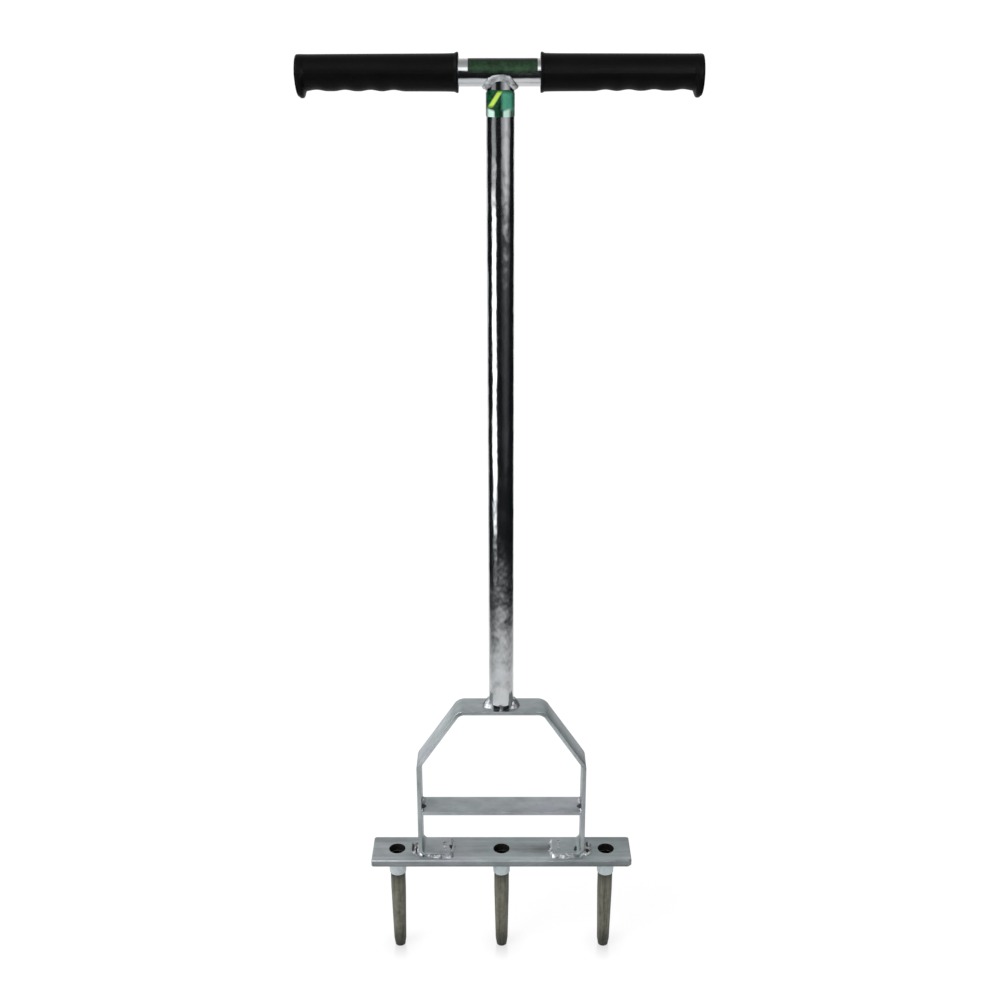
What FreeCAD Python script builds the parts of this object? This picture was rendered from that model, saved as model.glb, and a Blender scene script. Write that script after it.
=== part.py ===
"""Hand core aerator: a welded T-handle tool with three hollow tines.

The tool stands on its tine tips. The origin is on the ground under the shaft, +Z is up
along the shaft, +X runs along the handle and the tine bar, and -Y is the user's side.
Lengths are in millimetres and angles in degrees.
"""

import FreeCAD, Part
import math
import os

from FreeCAD import Vector

os.makedirs("parts", exist_ok=True)

X_AXIS = Vector(1, 0, 0)
Y_AXIS = Vector(0, 1, 0)
Z_AXIS = Vector(0, 0, 1)
ORIGIN = Vector(0, 0, 0)

# ---- driving dimensions ----
handle_radius = 11.1
shaft_radius = 11.9
tube_wall = 1.6
handle_height = 879.0
cope_ear_drop = 5.0

tine_pitch = 107.0
bar_underside = 111.0
bar_length = 264.0
bar_width = 41.0
bar_thickness = 8.0
bar_hole_radius = 8.0
bar_corner_chamfer = 1.0
bar_worn_corner = 3.0
bar_edge_rounding = 1.5

strap_width = 27.5
strap_thickness = 4.0
yoke_top = 287.0
shoulder_half_width = 41.5
leg_half_width = 82.2
leg_top = 224.4
shoulder_bend_radius = 9.0
leg_bend_radius = 8.0
foot_bend_radius = 7.0
foot_inner_end = 52.0
foot_bar_top = 172.3

notch_width = 15.6
notch_height = 5.2

tine_radius = 7.6
tine_taper_top = 70.0
tine_taper_bottom = 7.0
tine_end_radius = 6.25
cutting_edge_radius = 5.2
mouth_radius = 4.9
mouth_length = 12.0
mouth_cone_length = 8.0
core_bore_radius = 6.0

socket_bottom = 91.5
socket_straight = 4.0
socket_radius = 8.7
socket_flare_radius = 10.5
socket_edge = 0.7

grip_inner_end = 33.6
grip_outer_end = 166.9
grip_end_wall = 4.0
grip_inner_radius = 15.0
grip_outer_radius = 14.5
grip_ring_radius = 16.1
grip_ring_width = 2.4
scallop_places = (87.0, 106.0, 127.0, 150.5)
scallop_radius = 34.0
scallop_depth = 1.1
flange_radius = 17.0
flange_drop = 3.0
flange_thickness = 5.6
flange_tilt = 7.0
flange_place = 163.2
flange_rounding = 2.2

handle_bead_radius = 2.7
shaft_bead_leg = 6.3
shaft_bead_height = 5.8
tack_width = 3.6
tack_depth = 2.6
foot_bar_bead = 3.0
foot_bar_bead_rise = 3.4
foot_bead_margin = 4.2
foot_groove_margin = 8.6
foot_bead_height = 3.5
socket_bead_leg = 2.8

label_thickness = 0.2
handle_label_span = (-26.5, 30.5)
handle_label_angles = (-240.0, -92.0)
shaft_label_span = (844.5, 866.0)
shaft_label_half_angle = 96.0

# ---- lengths that follow from them ----
bar_top = bar_underside + bar_thickness
half_strap = strap_thickness / 2
half_width = strap_width / 2
leg_inner_face = leg_half_width - half_strap
tine_places = {"left": -tine_pitch, "centre": 0.0, "right": tine_pitch}
sides = {"left": -1, "right": 1}


# ---- helpers ----
def box(low, high):
    """A box between two corners."""
    size = [b - a for a, b in zip(low, high)]
    return Part.makeBox(*size, Vector(*low))


def steel_tube(radius, length, start, axis):
    """A length of round tube."""
    outside = Part.makeCylinder(radius, length, start, axis)
    return outside.cut(Part.makeCylinder(radius - tube_wall, length, start, axis))


def revolved(profile, centre_x):
    """A ring turned about the vertical line at centre_x from (radius, height) corners."""
    corners = [Vector(radius, 0, height) for radius, height in profile]
    face = Part.Face(Part.makePolygon(corners + corners[:1]))
    shape = face.revolve(ORIGIN, Z_AXIS, 360)
    shape.translate(Vector(centre_x, 0, 0))
    return shape


def mirrored(shape):
    """The same shape on the other side of the tool's middle plane."""
    return shape.mirror(ORIGIN, X_AXIS)


def on_side(shape, side):
    """The right-hand shape as it is, or mirrored for the left side."""
    return shape if side > 0 else mirrored(shape)


def export(shape, node):
    """Write one sub-part, after checking that it is closed and sound."""
    shape = shape.removeSplitter()
    if not shape.isValid() or shape.Volume <= 0:
        raise ValueError(node + " is not a sound solid")
    shape.exportStep("parts/" + node + ".step")
    print(node, len(shape.Solids), round(shape.Volume))


def rounded_path(points, radii):
    """Edges through flat (x, z) points, each inner corner rounded to its radius."""
    edges = []
    last = Vector(points[0][0], 0, points[0][1])
    for before, corner, after, radius in zip(points, points[1:], points[2:], radii):
        middle = Vector(corner[0], 0, corner[1])
        back = (Vector(before[0], 0, before[1]) - middle).normalize()
        ahead = (Vector(after[0], 0, after[1]) - middle).normalize()
        half_angle = back.getAngle(ahead) / 2
        reach = radius / math.tan(half_angle)
        bisector = (back + ahead).normalize()
        centre = middle + bisector * (radius / math.sin(half_angle))
        start = middle + back * reach
        end = middle + ahead * reach
        edges.append(Part.LineSegment(last, start).toShape())
        edges.append(Part.Arc(start, centre - bisector * radius, end).toShape())
        last = end
    finish = Vector(points[-1][0], 0, points[-1][1])
    edges.append(Part.LineSegment(last, finish).toShape())
    return edges


def offset_points(points, distance):
    """The flat path's points moved sideways by a distance, with mitred corners."""
    headings = []
    for first, second in zip(points, points[1:]):
        length = math.dist(first, second)
        headings.append(((second[0] - first[0]) / length, (second[1] - first[1]) / length))
    moved = []
    for index, point in enumerate(points):
        arriving = headings[max(index - 1, 0)]
        leaving = headings[min(index, len(headings) - 1)]
        normal = (-arriving[1] - leaving[1], arriving[0] + leaving[0])
        scale = distance / (1 + arriving[0] * leaving[0] + arriving[1] * leaving[1])
        moved.append((point[0] + normal[0] * scale, point[1] + normal[1] * scale))
    return moved


# ---- handle and shaft ----
def make_handle_tube():
    half_length = grip_outer_end - grip_end_wall
    start = Vector(-half_length, 0, handle_height)
    return steel_tube(handle_radius, 2 * half_length, start, X_AXIS)


def make_shaft_tube():
    """The upright tube: its top is coped round the handle, and its foot has a drain notch."""
    start = Vector(0, 0, yoke_top)
    length = handle_height - cope_ear_drop - yoke_top
    shaft = steel_tube(shaft_radius, length, start, Z_AXIS)
    handle_start = Vector(-2 * shaft_radius, 0, handle_height)
    shaft = shaft.cut(Part.makeCylinder(handle_radius, 4 * shaft_radius, handle_start, X_AXIS))
    notch_low = (-notch_width / 2, -shaft_radius - 1, yoke_top)
    notch_high = (notch_width / 2, 0, yoke_top + notch_height)
    return shaft.cut(box(notch_low, notch_high))


def make_handle_weld():
    """The bead round the saddle: each half follows a half ellipse in the plane where the tubes meet."""
    middle = Vector(0, 0, handle_height)
    halves = []
    for side in (-1, 1):
        long_way = Vector(side * shaft_radius, 0, -handle_radius)
        ellipse = Part.Ellipse(middle + long_way, middle + Y_AXIS * shaft_radius, middle)
        reach = math.radians(78)
        path = Part.Wire(ellipse.toShape(-reach, reach))
        start = path.Vertexes[0].Point
        heading = path.Edges[0].tangentAt(path.Edges[0].FirstParameter)
        ring = Part.Wire(Part.Circle(start, heading, handle_bead_radius).toShape())
        halves.append(path.makePipeShell([ring], True, False))
    bead = halves[0].fuse(halves[1])
    reach = 4 * shaft_radius
    handle_start = Vector(-reach, 0, handle_height)
    bead = bead.cut(Part.makeCylinder(handle_radius, 2 * reach, handle_start, X_AXIS))
    shaft_start = Vector(0, 0, handle_height - reach)
    shaft = Part.makeCylinder(shaft_radius, reach - cope_ear_drop, shaft_start, Z_AXIS)
    return bead.cut(shaft)


def make_grip():
    """The right-hand grip: a blind rubber sleeve with finger scallops and an end flange."""
    length = grip_outer_end - grip_inner_end
    start = Vector(grip_inner_end, 0, handle_height)
    body = Part.makeCone(grip_inner_radius, grip_outer_radius, length, start, X_AXIS)
    rim_edges = [edge for edge in body.Edges if edge.Closed and edge.CenterOfMass.x > 100]
    body = body.makeFillet(flange_rounding, rim_edges)
    for place in scallop_places:
        share = (place - grip_inner_end) / length
        local_radius = grip_inner_radius + share * (grip_outer_radius - grip_inner_radius)
        centre_height = handle_height - local_radius - scallop_radius + scallop_depth
        scallop_start = Vector(place, -2 * handle_radius, centre_height)
        scallop = Part.makeCylinder(scallop_radius, 4 * handle_radius, scallop_start, Y_AXIS)
        body = body.cut(scallop)
    ring = Part.makeCylinder(grip_ring_radius, grip_ring_width, start, X_AXIS)
    ring = ring.makeFillet(grip_ring_width / 3, [e for e in ring.Edges if e.Closed])
    flange_start = Vector(flange_place - flange_thickness / 2, 0, handle_height - flange_drop)
    flange = Part.makeCylinder(flange_radius, flange_thickness, flange_start, X_AXIS)
    flange = flange.makeFillet(flange_rounding, [e for e in flange.Edges if e.Closed])
    flange.rotate(Vector(flange_place, 0, handle_height), Y_AXIS, flange_tilt)
    bore_length = length - grip_end_wall
    bore = Part.makeCylinder(handle_radius, bore_length, start, X_AXIS)
    return body.fuse(ring).fuse(flange).cut(bore)


# ---- yoke and foot bar ----
def make_yoke():
    """One strap bent to a flat top, sloping shoulders, upright legs and inturned feet."""
    right_side = [
        (shoulder_half_width, yoke_top - half_strap),
        (leg_half_width, leg_top),
        (leg_half_width, bar_top + half_strap),
        (foot_inner_end, bar_top + half_strap),
    ]
    middle = [(-x, z) for x, z in reversed(right_side)] + right_side
    bends = [foot_bend_radius, leg_bend_radius, shoulder_bend_radius]
    bends = bends + bends[::-1]
    outer = rounded_path(offset_points(middle, half_strap), [r + half_strap for r in bends])
    inner = rounded_path(offset_points(middle, -half_strap), [r - half_strap for r in bends])
    ends = [
        Part.LineSegment(outer[i].Vertexes[j].Point, inner[i].Vertexes[j].Point).toShape()
        for i, j in ((0, 0), (-1, 1))
    ]
    outline = Part.Wire(Part.__sortEdges__(outer + inner + ends))
    face = Part.Face(outline)
    face.translate(Vector(0, -half_width, 0))
    return face.extrude(Y_AXIS * strap_width)


def make_foot_bar():
    """The flat step between the legs, its top edges bevelled at both ends for the welds."""
    low = (-leg_inner_face, -half_width, foot_bar_top - strap_thickness)
    bar = box(low, (leg_inner_face, half_width, foot_bar_top))
    for side in sides.values():
        bar = bar.cut(on_side(weld_prism([
            (leg_inner_face - foot_bar_bead, foot_bar_top),
            (leg_inner_face, foot_bar_top),
            (leg_inner_face, foot_bar_top - foot_bar_bead),
        ], half_width), side))
    return bar


def weld_prism(corners, reach):
    """A straight bead along Y with the given (x, z) cross-section."""
    points = [Vector(x, -reach, z) for x, z in corners]
    return Part.Face(Part.makePolygon(points + points[:1])).extrude(Y_AXIS * 2 * reach)


def make_foot_bar_weld():
    """The right-hand end welds: one bead in the bevel on top and one fillet underneath."""
    top_bead = weld_prism([
        (leg_inner_face - foot_bar_bead, foot_bar_top),
        (leg_inner_face - foot_bar_bead * 0.45, foot_bar_top + foot_bar_bead_rise * 0.75),
        (leg_inner_face, foot_bar_top + foot_bar_bead_rise),
        (leg_inner_face, foot_bar_top - foot_bar_bead),
    ], half_width - 0.5)
    underside = foot_bar_top - strap_thickness
    lower_bead = weld_prism([
        (leg_inner_face - foot_bar_bead, underside),
        (leg_inner_face, underside),
        (leg_inner_face, underside - foot_bar_bead),
        (leg_inner_face - foot_bar_bead * 0.65, underside - foot_bar_bead * 0.65),
    ], half_width - 2)
    return Part.makeCompound([top_bead, lower_bead])


# ---- welds at the shaft's foot ----
def make_shaft_weld():
    """The right-hand half of the bead round the shaft's foot, open over the drain notch."""
    bead = revolved([
        (shaft_radius, yoke_top),
        (shaft_radius + shaft_bead_leg, yoke_top),
        (shaft_radius + shaft_bead_leg * 0.5, yoke_top + shaft_bead_height * 0.38),
        (shaft_radius + shaft_bead_leg * 0.12, yoke_top + shaft_bead_height * 0.8),
        (shaft_radius, yoke_top + shaft_bead_height),
    ], 0)
    reach = shaft_radius + shaft_bead_leg + 1
    strap_space = box((0, -half_width, yoke_top), (reach, half_width, yoke_top + reach))
    over_notch = box((-reach, -reach, yoke_top), (notch_width / 2, 0, yoke_top + reach))
    return bead.common(strap_space).cut(over_notch)


def make_shaft_weld_tack():
    """A short tack in the middle of the drain notch, up the front of the shaft's wall."""
    front = -shaft_radius - 1.0
    low = (-tack_width / 2, front, yoke_top)
    high = (tack_width / 2, front + tack_depth, yoke_top + notch_height)
    return box(low, high)


# ---- tine bar, sockets and tines ----
def make_tine_bar():
    """The rolled flat bar, with three holes, sawn corners and one ground-off corner."""
    half_length = bar_length / 2
    half_bar = bar_width / 2
    bar = box((-half_length, -half_bar, bar_underside), (half_length, half_bar, bar_top))
    upright = [e for e in bar.Edges if e.BoundBox.ZLength > bar_thickness - 0.1]
    worn = [e for e in upright if e.CenterOfMass.x > 0 and e.CenterOfMass.y < 0]
    sawn = [e for e in upright if e.CenterOfMass.x < 0 or e.CenterOfMass.y > 0]
    bar = bar.makeChamfer(bar_corner_chamfer, sawn)
    worn_place = worn[0].CenterOfMass
    worn = [e for e in bar.Edges if e.CenterOfMass.distanceToPoint(worn_place) < 0.1]
    bar = bar.makeChamfer(bar_worn_corner, worn)
    rims = [e for e in bar.Edges if e.BoundBox.ZLength < 0.1]
    bar = bar.makeFillet(bar_edge_rounding, rims)
    for place in tine_places.values():
        start = Vector(place, 0, bar_underside)
        bar = bar.cut(Part.makeCylinder(bar_hole_radius, bar_thickness, start, Z_AXIS))
    return bar


def make_foot_weld(yoke):
    """The bead round the right-hand foot, which fills the groove outside its bend."""
    low = (foot_inner_end - foot_bead_margin, -half_width - foot_bead_margin, bar_top)
    high = (leg_half_width + half_strap + foot_groove_margin,
            half_width + foot_bead_margin, bar_top + foot_bead_height)
    pad = box(low, high)
    top_edges = [e for e in pad.Edges if e.BoundBox.ZMin > bar_top + foot_bead_height - 0.01]
    pad = pad.makeChamfer(foot_bead_height - 0.2, foot_bead_margin - 0.4, top_edges)
    bead = pad.cut(yoke)
    return max(bead.Solids, key=lambda solid: solid.Volume)


def make_socket(place):
    """A short collar that flares towards the underside of the bar."""
    profile = [
        (tine_radius, socket_bottom),
        (socket_radius - socket_edge, socket_bottom),
        (socket_radius, socket_bottom + socket_edge),
        (socket_radius, socket_bottom + socket_straight),
        (socket_flare_radius, bar_underside),
        (tine_radius, bar_underside),
    ]
    return revolved(profile, place)


def make_socket_weld(place):
    """The ring bead between a collar and the underside of the bar."""
    flare = (socket_flare_radius - socket_radius) / (bar_underside - socket_bottom - socket_straight)
    lower_radius = socket_flare_radius - flare * socket_bead_leg
    profile = [
        (socket_flare_radius, bar_underside),
        (socket_flare_radius + socket_bead_leg, bar_underside),
        (socket_flare_radius + socket_bead_leg * 0.55, bar_underside - socket_bead_leg * 0.55),
        (lower_radius, bar_underside - socket_bead_leg),
    ]
    return revolved(profile, place)


def make_tine(place):
    """A hollow coring tube: straight, then tapered, then bevelled to its cutting edge."""
    profile = [
        (mouth_radius, 0),
        (cutting_edge_radius, 0),
        (tine_end_radius, tine_taper_bottom),
        (tine_radius, tine_taper_top),
        (tine_radius, bar_underside),
        (core_bore_radius, bar_underside),
        (core_bore_radius, mouth_length + mouth_cone_length),
        (mouth_radius, mouth_length),
    ]
    return revolved(profile, place)


# ---- labels ----
def wrap(tube_radius, length, first_angle, last_angle):
    """A thin sheet round a tube that stands on the origin, between two angles from +X."""
    sweep = last_angle - first_angle
    radius = tube_radius + label_thickness
    sheet = Part.makeCylinder(radius, length, ORIGIN, Z_AXIS, sweep)
    sheet = sheet.cut(Part.makeCylinder(tube_radius, length))
    sheet.rotate(ORIGIN, Z_AXIS, first_angle)
    return sheet


def make_handle_label(handle_weld):
    """A thin printed wrap from the front of the handle tube over its top, cut at the weld."""
    start, end = handle_label_span
    sheet = wrap(handle_radius, end - start, *handle_label_angles)
    sheet.rotate(ORIGIN, Y_AXIS, 90)
    sheet.translate(Vector(start, 0, handle_height))
    return max(sheet.cut(handle_weld).Solids, key=lambda solid: solid.Volume)


def make_shaft_label(handle_weld):
    """A thin printed wrap round the front of the shaft, trimmed where it meets the weld."""
    start, end = shaft_label_span
    turns = (-90 - shaft_label_half_angle, -90 + shaft_label_half_angle)
    sheet = wrap(shaft_radius, end - start, *turns)
    sheet.translate(Vector(0, 0, start))
    return max(sheet.cut(handle_weld).Solids, key=lambda solid: solid.Volume)


# ---- the whole tool ----
yoke = make_yoke()
grip = make_grip()
handle_weld = make_handle_weld()
export(make_handle_tube(), "handle_tube")
export(make_shaft_tube(), "shaft_tube")
export(handle_weld, "handle_weld")
export(yoke, "yoke")
export(make_foot_bar(), "foot_bar")
export(make_shaft_weld_tack(), "shaft_weld_tack")
export(make_tine_bar(), "tine_bar")
export(make_handle_label(handle_weld), "handle_label")
export(make_shaft_label(handle_weld), "shaft_label")
for name, side in sides.items():
    export(on_side(grip, side), name + "_grip")
    export(on_side(make_shaft_weld(), side), "shaft_weld_" + name)
    export(on_side(make_foot_bar_weld(), side), "foot_bar_weld_" + name)
    export(on_side(make_foot_weld(yoke), side), "yoke_foot_weld_" + name)
for name, place in tine_places.items():
    export(make_tine(place), "tine_" + name)
    export(make_socket(place), "tine_socket_" + name)
    export(make_socket_weld(place), "tine_socket_weld_" + name)
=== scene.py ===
"""The looks of a hand core aerator: tubes, strap, bar, tines, welds, grips and labels.

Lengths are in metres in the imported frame: +Z up the shaft, +X along the handle, the user
at -Y. Places come from the frame's boxes, and the fine sizes are named here.
"""

from math import asin, cos, exp, pi, radians, sin, sqrt, tan, tau

import bmesh
import bpy
from mathutils import Matrix, Vector, noise


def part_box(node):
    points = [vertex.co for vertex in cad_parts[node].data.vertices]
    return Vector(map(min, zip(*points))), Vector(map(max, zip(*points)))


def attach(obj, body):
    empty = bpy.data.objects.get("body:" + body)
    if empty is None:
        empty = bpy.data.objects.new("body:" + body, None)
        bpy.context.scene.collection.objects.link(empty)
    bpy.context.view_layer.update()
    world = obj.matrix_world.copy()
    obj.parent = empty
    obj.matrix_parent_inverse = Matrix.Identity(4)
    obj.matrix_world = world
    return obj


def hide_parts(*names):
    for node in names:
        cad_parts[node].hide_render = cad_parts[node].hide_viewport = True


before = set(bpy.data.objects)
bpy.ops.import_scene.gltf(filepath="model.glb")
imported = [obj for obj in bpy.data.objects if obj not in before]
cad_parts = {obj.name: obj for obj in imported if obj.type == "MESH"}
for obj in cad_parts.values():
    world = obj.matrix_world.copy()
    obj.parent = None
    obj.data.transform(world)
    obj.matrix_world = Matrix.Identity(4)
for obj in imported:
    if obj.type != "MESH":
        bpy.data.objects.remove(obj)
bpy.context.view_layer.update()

MM = 0.001
SIDES = {"left": -1, "right": 1}
TINES = ("left", "centre", "right")
X, Y, Z = Vector((1, 0, 0)), Vector((0, 1, 0)), Vector((0, 0, 1))

# ---- sizes read from the frame ----
handle_low, handle_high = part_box("handle_tube")
shaft_low, shaft_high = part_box("shaft_tube")
bar_low, bar_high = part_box("tine_bar")
yoke_low, yoke_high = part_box("yoke")
step_low, step_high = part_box("foot_bar")
handle_height = (handle_low.z + handle_high.z) / 2
handle_radius = (handle_high.z - handle_low.z) / 2
shaft_radius = shaft_high.x
strap_thickness = step_high.z - step_low.z
half_strap = strap_thickness / 2
half_width = yoke_high.y
leg_middle = yoke_high.x - half_strap
leg_inner_face = step_high.x

# ---- fine sizes ----
tube_wall = 1.6 * MM
tube_sides = 96
notch_half_width = 7.8 * MM
notch_spread = asin(notch_half_width / shaft_radius)
notch_height = 5.2 * MM
shoulder_half_width = 41.5 * MM
leg_top = 224.4 * MM
shoulder_bend_radius = 9 * MM
leg_bend_radius = 8 * MM
foot_bend_radius = 7 * MM
foot_inner_end = 52 * MM
strap_edge_radius = 0.7 * MM
bar_hole_radius = 8.0 * MM
hole_rim = 0.4 * MM
bar_rolled_edge = 1.5 * MM
bar_sawn_corner = 1.2 * MM
bar_worn_corner = 3 * MM
ripple_pitch = 1.7 * MM
saddle_drop = 3.7 * MM


# ---- mesh helpers ----
def put(name, data):
    """A new object with this data, in the scene."""
    thing = bpy.data.objects.new(name, data)
    bpy.context.scene.collection.objects.link(thing)
    return thing


def new_mesh(name, points, faces):
    mesh = bpy.data.meshes.new(name)
    mesh.from_pydata([tuple(point) for point in points], [], faces)
    return mesh


def add_object(name, mesh, crease=38):
    """Put a mesh in the scene, smooth except at creases sharper than the angle."""
    mesh.validate()
    work = bmesh.new()
    work.from_mesh(mesh)
    bmesh.ops.recalc_face_normals(work, faces=work.faces)
    work.to_mesh(mesh)
    work.free()
    mesh.shade_smooth()
    mesh.set_sharp_from_angle(angle=radians(crease))
    return put(name, mesh)


def loft(name, rings, joined=False, crease=38):
    """A closed skin through rings of points: its ends are capped, or joined to each other."""
    count = len(rings[0])
    faces = []
    for index in range(len(rings) if joined else len(rings) - 1):
        here = index * count
        there = (index + 1) % len(rings) * count
        for first in range(count):
            second = (first + 1) % count
            faces.append((here + first, here + second, there + second, there + first))
    if not joined:
        faces.append(tuple(range(count)))
        faces.append(tuple(range(count * (len(rings) - 1), count * len(rings))))
    return add_object(name, new_mesh(name, [p for ring in rings for p in ring], faces), crease)


def rings_of(sections, count, spot):
    """Rings of points, each spot(angle, *section)."""
    return [[spot(tau * n / count, *section) for n in range(count)]
            for section in sections]


def polar(radius, angle, height=0.0):
    return Vector((radius * cos(angle), radius * sin(angle), height))


def show(thing, slot, material, *nodes):
    """Give a piece its material, and let it stand for CAD nodes of the tool's one body."""
    thing.data.materials.clear()
    thing.data.materials.append(material)
    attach(thing, "root")
    if nodes:
        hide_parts(*nodes)
    return thing


def turned(name, profile, centre, wobble):
    """A ring turned from (radius, height) points round the upright line through centre."""
    def spot(angle, radius, height):
        place = polar(radius, angle, height)
        swell = 1 + wobble * noise.noise((place + centre) * 260)
        return centre + Vector((place.x * swell, place.y * swell, height))

    return loft(name, rings_of(profile, 64, spot), joined=True)


def smooth_profile(points, steps):
    """More points along a profile's straight runs, so that its surface can vary."""
    finer = []
    for first, second in zip(points, points[1:] + points[:1]):
        for step in range(steps):
            finer.append([a + (b - a) * step / steps for a, b in zip(first, second)])
    return finer


def steps_between(first, last, count):
    return [first + (last - first) * n / (count - 1) for n in range(count)]


def ease(value):
    """Smooth step of a value held between 0 and 1."""
    value = min(1.0, max(0.0, value))
    return value * value * (3 - 2 * value)


# ---- material helpers ----
class Nodes:
    """A node tree being built: each call adds one node and wires its inputs."""

    def __init__(self, tree, place="Object"):
        self.tree = tree
        self.place = self.add("ShaderNodeTexCoord").outputs[place]
        self.parts = self.add("ShaderNodeSeparateXYZ", {"Vector": self.place}).outputs

    def add(self, kind, inputs=None, **settings):
        node = self.tree.nodes.new(kind)
        for key, value in settings.items():
            setattr(node, key, value)
        for key, value in (inputs or {}).items():
            self.set(node.inputs[key], value)
        return node

    def set(self, socket, value):
        if isinstance(value, bpy.types.NodeSocket):
            self.tree.links.new(value, socket)
        else:
            socket.default_value = value

    def stretched(self, stretch):
        """The place with each axis scaled, which draws noise out along an axis."""
        mapping = self.add("ShaderNodeMapping", {"Vector": self.place, "Scale": stretch})
        return mapping.outputs["Vector"]

    def noise(self, scale, detail=3.0, roughness=0.55, stretch=(1, 1, 1)):
        inputs = {"Vector": self.stretched(stretch), "Scale": scale,
                  "Detail": detail, "Roughness": roughness}
        return self.add("ShaderNodeTexNoise", inputs).outputs["Fac"]

    def ramp(self, factor, *stops):
        """A colour or grey ramp from (place, colour) stops."""
        node = self.add("ShaderNodeValToRGB", {"Fac": factor})
        elements = node.color_ramp.elements
        while len(elements) < len(stops):
            elements.new(0.5)
        for element, (place, colour) in zip(elements, stops):
            element.position = place
            element.color = grey(colour) if isinstance(colour, (int, float)) else (*colour, 1)
        return node.outputs["Color"]

    def measure(self, operation, first, second=(0, 0, 0)):
        """A length, distance or product of vectors."""
        node = self.add("ShaderNodeVectorMath", {0: first, 1: second}, operation=operation)
        return node.outputs["Value"]

    def math(self, operation, first, second=0.0):
        node = self.add("ShaderNodeMath", {0: first, 1: second}, operation=operation)
        return node.outputs["Value"]

    def plus(self, first, second):
        return self.math("ADD", first, second)

    def minus(self, first, second):
        return self.math("SUBTRACT", first, second)

    def times(self, first, second):
        return self.math("MULTIPLY", first, second)

    def mix(self, factor, first, second, blend="MIX"):
        inputs = {"Factor": factor, "A": first, "B": second}
        node = self.add("ShaderNodeMix", inputs, data_type="RGBA", blend_type=blend)
        return node.outputs["Result"]

    def shaded(self, colour, shade):
        return self.mix(1.0, colour, shade, "MULTIPLY")

    def camera_ray(self):
        return self.add("ShaderNodeLightPath").outputs["Is Camera Ray"]


class Surface(Nodes):
    """A material being built."""

    def __init__(self, name):
        self.material = bpy.data.materials.new(name)
        self.material.use_nodes = True
        super().__init__(self.material.node_tree)
        self.shader = self.tree.nodes["Principled BSDF"]

    def bump(self, height, depth, normal=None):
        """A bump of the given depth in metres, on top of an earlier one."""
        inputs = {"Height": height, "Distance": depth, "Strength": 1.0}
        if normal:
            inputs["Normal"] = normal
        return self.add("ShaderNodeBump", inputs).outputs["Normal"]

    def finish(self, **inputs):
        """Set the shader's own sockets, with underscores for the spaces in their names."""
        for key, value in inputs.items():
            self.set(self.shader.inputs[key.replace("_", " ")], value)
        return self.material

    def blend(self, share, first, second):
        """Two shaders mixed, with this share of the second."""
        inputs = {0: share, 1: first.outputs[0], 2: second.outputs[0]}
        return self.add("ShaderNodeMixShader", inputs)

    def end_in(self, shader):
        """Use this shader instead of the usual one."""
        self.tree.nodes.remove(self.shader)
        self.tree.links.new(shader.outputs[0],
                            self.tree.nodes["Material Output"].inputs["Surface"])
        return self.material


def grey(value):
    return (value, value, value, 1)


def chrome_material(name, along):
    """Bright chrome on drawn tube: faint waves, draw lines along it, smudges and specks."""
    def drawn(share):
        return tuple(share if axis == along else 1.0 for axis in "xyz")

    s = Surface(name)
    waves = s.noise(46, 3, 0.5, drawn(0.5))
    lines = s.noise(1500, 2, 0.6, drawn(0.04))
    smudge = s.noise(28, 4, 0.6)
    specks = s.noise(900, 1, 0.5)
    roughness = s.plus(s.plus(s.times(smudge, 0.12), s.times(lines, 0.08)), 0.04)
    tint = s.ramp(smudge, (0.3, (0.60, 0.63, 0.65)), (0.7, (0.70, 0.71, 0.72)))
    pits = s.ramp(specks, (0.22, 0.55), (0.30, 1.0))
    normal = s.bump(lines, 0.000012, s.bump(waves, 0.0014))
    return s.finish(Base_Color=s.shaded(tint, pits), Metallic=1.0, Roughness=roughness,
                    Normal=normal)


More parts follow.
